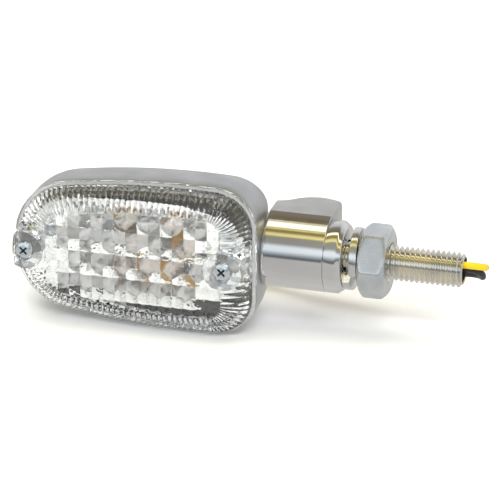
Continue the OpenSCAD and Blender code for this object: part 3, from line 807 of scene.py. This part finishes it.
def add_nut():
    """Hexagonal nut: a hexagon met by a chamfer cone at each face, with softened edges."""
    half_flats, thick, bore, x0 = 9.5, 8.0, 5.07, 9.65
    angles = np.radians(np.arange(0, 360, 1.0))
    tilt = math.radians(-1.6)
    hexagon = np.zeros(len(angles))
    for i in range(6):
        c = np.cos(angles - tilt - math.pi / 3 * i - math.pi / 2)
        hexagon += np.maximum(c, 0) ** 70 / half_flats ** 70
    hexagon = hexagon ** (-1 / 70)
    rings = []
    for x in [0, 0.04, 0.12, 0.25, 0.45, 0.7, 1.0, 1.4, 2, 3, 4, 5, 6, 6.6, 7, 7.3, 7.55, 7.75, 7.88, 7.96, 8.0]:
        edge = min(x, thick - x)
        cone = half_flats - 0.45 + edge * 1.732
        r = (hexagon ** -30 + cone ** -30) ** (-1 / 30)
        r = r - 0.12 * max(0, 1 - edge / 0.12) ** 2
        rings.append([(x0 + x, a * math.cos(t), a * math.sin(t)) for a, t in zip(r, angles)])
    for x, r in ((thick, 5.9), (thick - 0.75, bore), (0.75, bore), (0, 5.9)):
        rings.append([(x0 + x, r * math.cos(t), r * math.sin(t)) for t in angles])
    obj = new_object("nut", *loft(rings, closed=True))
    sharpen(obj, 25)
    return obj


def add_lock_washer():
    """Split spring washer: a rounded square section swept one turn with a gap, its ends offset."""
    r0, r1, thick, x0 = 5.25, 9.05, 2.2, 5.2
    c = 0.28                     # radius of the section's corners
    section = []
    for cx, cy, a0 in ((r1 - c, thick - c, 0), (r0 + c, thick - c, 90), (r0 + c, c, 180), (r1 - c, c, 270)):
        for i in range(4):
            a = math.radians(a0 + 30 * i)
            section.append((cx + c * math.cos(a), cy + c * math.sin(a)))
    rings = []
    for i in range(145):
        a = math.radians(200 + 8 + (360 - 16) * i / 144)
        x = x0 + thick * i / 144
        rings.append([(x + q, p * math.cos(a), p * math.sin(a)) for p, q in section])
    obj = new_object("spring_washer", *capped(rings))
    sharpen(obj, 40)
    return obj


stud, nut, washer = add_stud(), add_nut(), add_lock_washer()
COLLAR = [(0.05, 5.25), (0.05, 10.2), (0.12, 10.4), (0.3, 10.5), (3.3, 10.5), (3.6, 10.4),
          (3.95, 10.1), (4.6, 9.6), (4.95, 9.3), (5.08, 9.0), (5.1, 8.7), (5.1, 5.25)]
collar = lathe_x("clamp_collar", COLLAR, 144)
THREAD = metal("plated_thread", (0.88, 0.87, 0.83), 0.16, 0.05, 1.5, 0.01, (0.92, 0.88, 0.78))
for obj, m, body, slot, replaced in ((stud, THREAD, "stem", "steel", "hollow_stud"),
                                     (nut, ZINC, "nut", "steel", "hex_nut"),
                                     (washer, SPRING, "lock_washer", "steel", "lock_washer"),
                                     (collar, POLISHED, "collar", "arm", "collar")):
    dress(obj, m)
    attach(obj, body)
    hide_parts(replaced)

# ---------------------------------------------------------------- light and floor

def add_light(name, at, aim, size, power, colour):
    data = bpy.data.lights.new(name, "AREA")
    data.shape = "RECTANGLE"
    data.size, data.size_y = size
    data.energy = power
    data.color = colour
    obj = bpy.data.objects.new(name, data)
    obj.visible_glossy = False
    obj.location = at
    obj.rotation_euler = (Vector(aim) - Vector(at)).to_track_quat("-Z", "Y").to_euler()
    scene.collection.objects.link(obj)


def add_world():
    """A studio whose tone changes from the front horizon over the top to the back."""
    world = bpy.data.worlds.new("studio")
    world.use_nodes = True
    scene.world = world
    t = world.node_tree
    t.nodes.clear()
    out = t.nodes.new("ShaderNodeOutputWorld")
    back = t.nodes.new("ShaderNodeBackground")
    t.links.new(back.outputs[0], out.inputs[0])
    where = t.nodes.new("ShaderNodeTexCoord").outputs["Generated"]
    parts = node(t, "ShaderNodeSeparateXYZ", {"Vector": where})
    angle = maths(t, "ARCTAN2", parts.outputs[2], maths(t, "MULTIPLY", parts.outputs[1], -1.0))
    fac = node(t, "ShaderNodeMapRange", {"Value": angle, "From Min": -math.pi, "From Max": math.pi}).outputs[0]
    # bearing from the front horizon over the top, in degrees, and the colour there
    tones = [(-90, (0.62, 0.61, 0.58)), (-4, (0.55, 0.54, 0.52)), (1, (0.10, 0.11, 0.12)),
             (5, (0.16, 0.18, 0.20)), (12, (0.42, 0.46, 0.50)), (22, (0.86, 0.94, 0.99)),
             (34, (0.90, 0.97, 1.0)), (40, (0.60, 0.62, 0.62)), (45, (0.34, 0.34, 0.32)),
             (62, (0.33, 0.32, 0.27)), (67, (0.42, 0.38, 0.24)), (70, (1.05, 0.93, 0.44)),
             (77, (0.95, 0.80, 0.30)), (82, (0.33, 0.28, 0.10)), (90, (0.27, 0.23, 0.09)),
             (93, (0.80, 0.62, 0.18)), (95, (1.75, 1.65, 1.35)), (101, (1.75, 1.65, 1.35)),
             (103.5, (0.40, 0.33, 0.12)), (107, (0.13, 0.11, 0.07)), (112, (0.24, 0.20, 0.15)),
             (124, (0.28, 0.25, 0.20)), (134, (0.62, 0.62, 0.62)), (160, (0.80, 0.80, 0.81)),
             (179, (0.75, 0.75, 0.76))]
    stops = [((degrees + 180) / 360, colour) for degrees, colour in tones]
    t.links.new(ramp(t, fac, stops), back.inputs["Color"])
    back.inputs["Strength"].default_value = 1.0


def add_floor():
    reach, steps = 2500, 40      # half its width in millimetres, and its squares along a side
    row = steps + 1
    places = [reach * (2 * i / steps - 1) for i in range(row)]
    verts = [(x, y, FLOOR_MM) for y in places for x in places]
    faces = [(j * row + i, j * row + i + 1, (j + 1) * row + i + 1, (j + 1) * row + i)
             for j in range(steps) for i in range(steps)]
    floor = new_object("floor", verts, faces)
    m, t, s, where = material("pale_floor")
    t.links.new(ramp(t, noise(t, where, 0.004, 2), [(0.3, 0.93), (0.7, 0.96)]), s.inputs["Base Color"])
    s.inputs["Roughness"].default_value = 0.9
    dress(floor, m)
    floor.visible_glossy = False


add_world()
add_floor()
MIDDLE = (-0.02, 0, 0)
add_light("key", (0.35, -0.9, 0.9), MIDDLE, (0.7, 0.5), 11, (0.97, 0.98, 1.0))
add_light("top", (-0.1, 0.1, 1.1), MIDDLE, (1.2, 0.9), 10, (0.95, 0.97, 1.0))
scene.view_settings.view_transform = "Standard"
